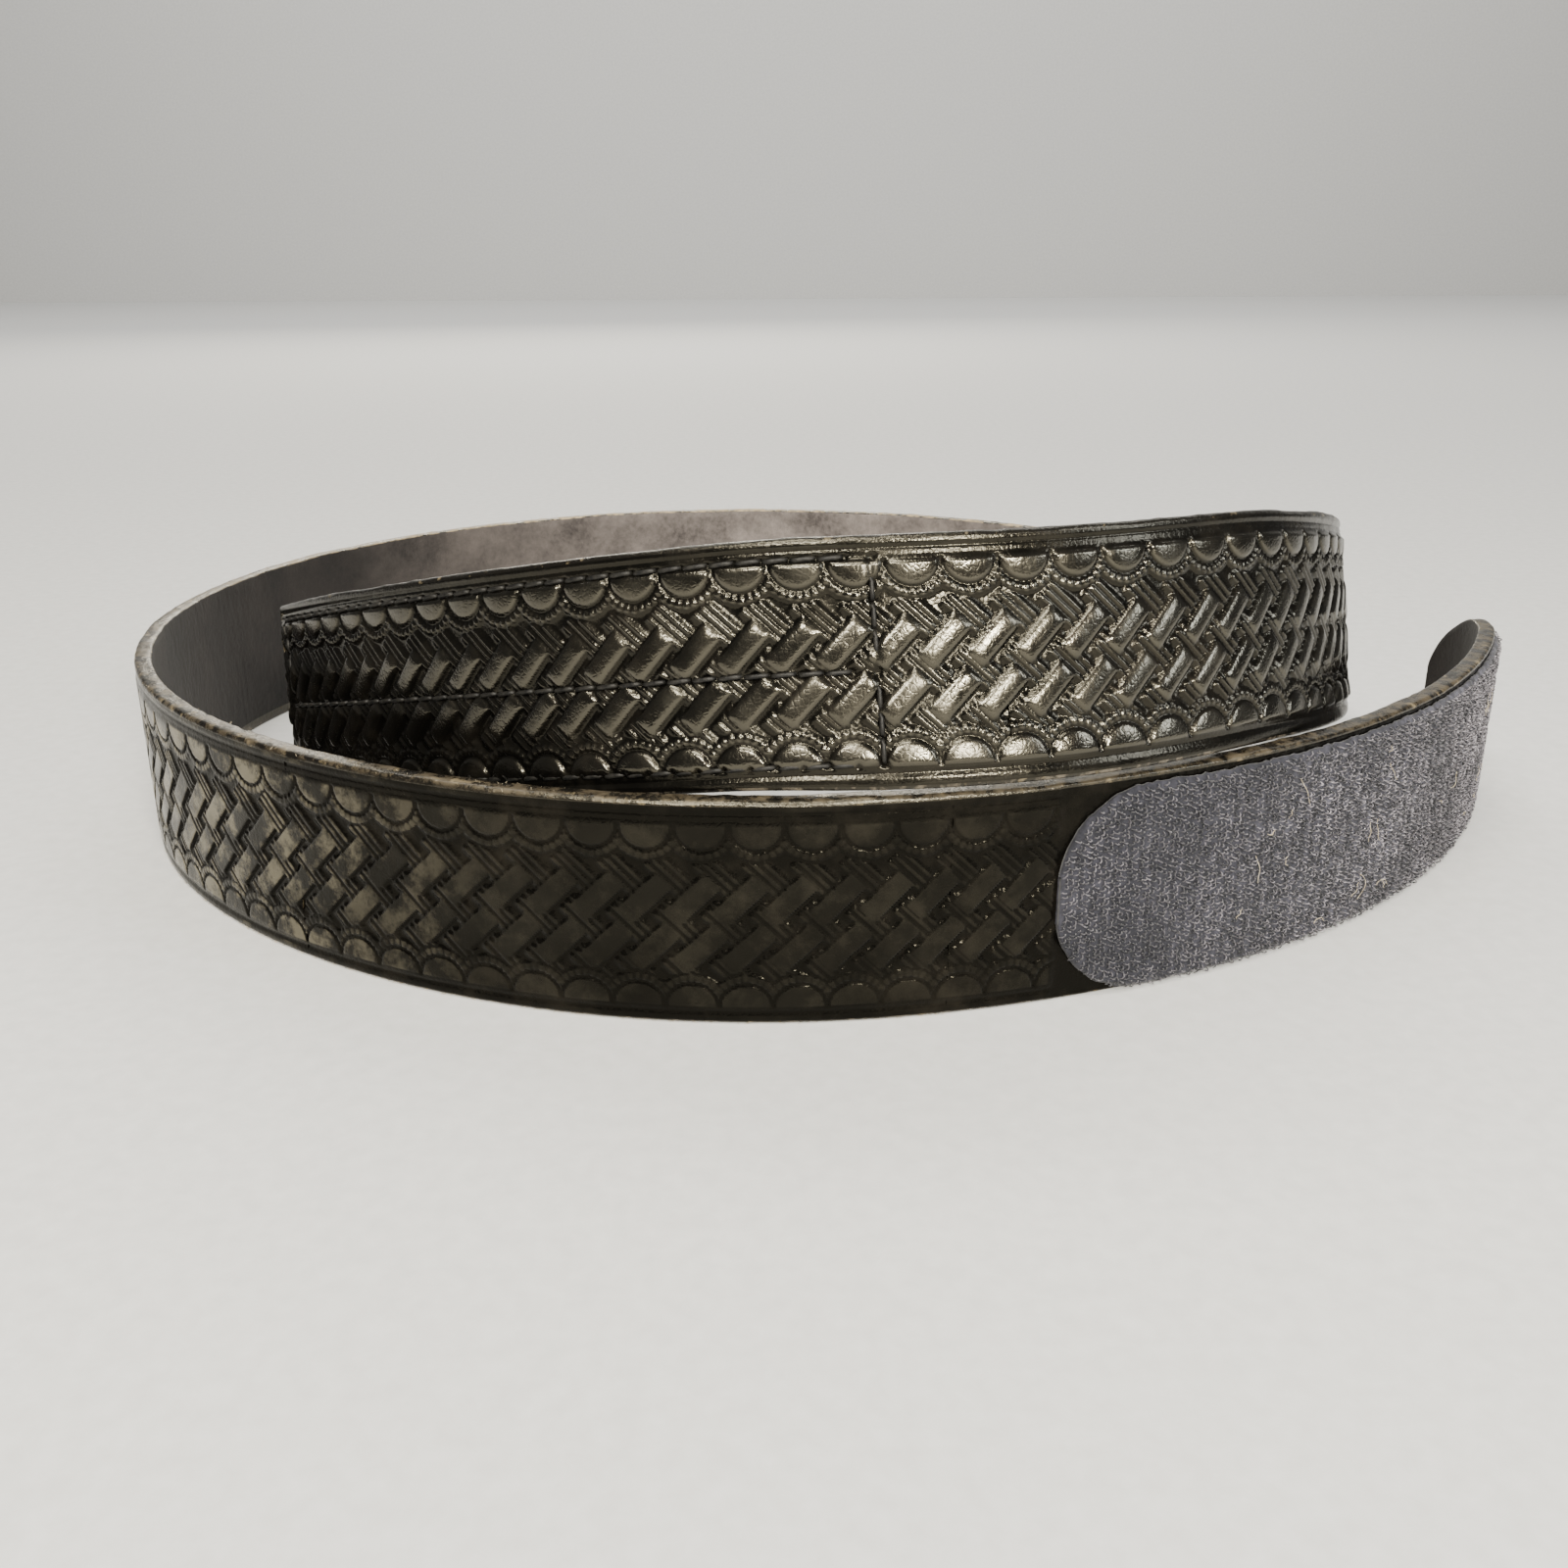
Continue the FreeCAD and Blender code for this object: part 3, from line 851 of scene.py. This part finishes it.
row_count = int((HOOK_PANEL - STITCH_INSET - HOOK_MARGIN) / STITCH_PITCH)
row_runs = HOOK_MARGIN + STITCH_PITCH * (np.arange(row_count) + 0.5)
for node, height in (("top", WIDTH - STITCH_INSET), ("centre", CENTRE_STITCH), ("bottom", STITCH_INSET)):
    row = stitch_line("thread_" + node, row_runs, height, True, thread)
    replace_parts(across_inner(row), "stitch_row_" + node)
cross_count = int((WIDTH - 2 * STITCH_INSET) / STITCH_PITCH)
cross_heights = STITCH_INSET + STITCH_PITCH * (np.arange(cross_count) + 0.5)
cross_heights = cross_heights[np.abs(cross_heights - CENTRE_STITCH) > STITCH_PITCH / 2]
for node, run in (("end", HOOK_MARGIN), ("cross", HOOK_PANEL - STITCH_INSET)):
    row = stitch_line("thread_" + node, np.full(len(cross_heights), run), cross_heights, False, thread)
    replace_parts(across_inner(row), "stitch_row_" + node)

fibre = fibre_material()
across_tip(lint("loop_lint", fibre))
for name, first, last, amount, top, longest in (("fray_back", 320, 900, 420, True, 0.7),
                                                ("fray_hem", TIP_JOIN - 260, TIP_JOIN, 260, False, 0.7)):
    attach(fray(name, first, last, amount, top, fibre, int(first), longest), "coil")


# ---------------------------------------------------------------- floor, light and camera
def floor():
    """A pale floor, with a pale wall well behind the belt."""
    material, nodes, links, shader = new_material("pale_floor")
    where = place(nodes)
    links.new(ramp(nodes, links, noise(nodes, links, where, 300), 0.3, 0.7,
                   (0.55, 0.55, 0.54, 1), (0.61, 0.61, 0.60, 1)), shader.inputs["Base Color"])
    shader.inputs["Roughness"].default_value = 0.85
    bpy.ops.mesh.primitive_plane_add(size=6, location=(0, 0, 0))
    plane = bpy.context.object
    plane.name = "floor"
    plane.data.materials.append(material)
    bpy.ops.mesh.primitive_plane_add(size=6, location=(0, 2.4, 0), rotation=(math.radians(90), 0, 0))
    wall = bpy.context.object
    wall.name = "wall"
    wall.data.materials.append(material)


def soft_light(name, place_at, aim, size, power, colour):
    """A rectangular light aimed at a point."""
    data = bpy.data.lights.new(name, "AREA")
    data.shape = "RECTANGLE"
    data.size, data.size_y = size
    data.energy = power
    data.color = colour
    light = bpy.data.objects.new(name, data)
    light.location = place_at
    light.rotation_euler = (Vector(aim) - Vector(place_at)).to_track_quat("-Z", "Y").to_euler()
    bpy.context.collection.objects.link(light)


def world():
    """Even, dim light from all round."""
    shade = bpy.data.worlds.new("studio")
    shade.use_nodes = True
    shade.node_tree.nodes["Background"].inputs["Color"].default_value = (0.80, 0.79, 0.77, 1)
    shade.node_tree.nodes["Background"].inputs["Strength"].default_value = 0.16
    bpy.context.scene.world = shade


def camera():
    """Camera in front of the belt, looking down on it."""
    data = bpy.data.cameras.new("camera")
    data.lens = 34.65
    data.sensor_width = 36.0
    data.clip_start = 0.01
    cam = bpy.data.objects.new("camera", data)
    cam.location = Vector((-7.6, -341.05, 120.45)) * MM
    pitch, roll = math.radians(90 - 20.338), math.radians(-0.294)
    cam.rotation_euler = (Euler((pitch, 0, 0)).to_matrix() @ Euler((0, 0, roll)).to_matrix()).to_euler()
    bpy.context.collection.objects.link(cam)
    bpy.context.scene.camera = cam


floor()
world()
camera()
soft_light("overhead", (-0.12, -0.35, 0.80), (0, -0.05, 0.03), (0.45, 0.18), 7, (1.0, 0.95, 0.84))
soft_light("key", (-0.25, -1.05, 0.78), (0, -0.05, 0.04), (0.30, 0.20), 20, (1.0, 0.95, 0.85))
soft_light("front_right", (0.34, -1.0, 0.44), (0.02, -0.1, 0.06), (0.22, 0.09), 18, (1.0, 0.94, 0.82))
soft_light("rim", (-0.25, 1.5, 0.66), (0, 0, 0.05), (0.9, 0.25), 10, (1.0, 0.93, 0.78))
soft_light("right", (0.75, -0.45, 0.4), (0, 0, 0.03), (0.2, 0.3), 3, (0.92, 0.96, 1.0))
soft_light("background", (0, 1.2, 1.9), (0, 2.0, 0.2), (2.6, 0.8), 55, (1.0, 0.99, 0.97))
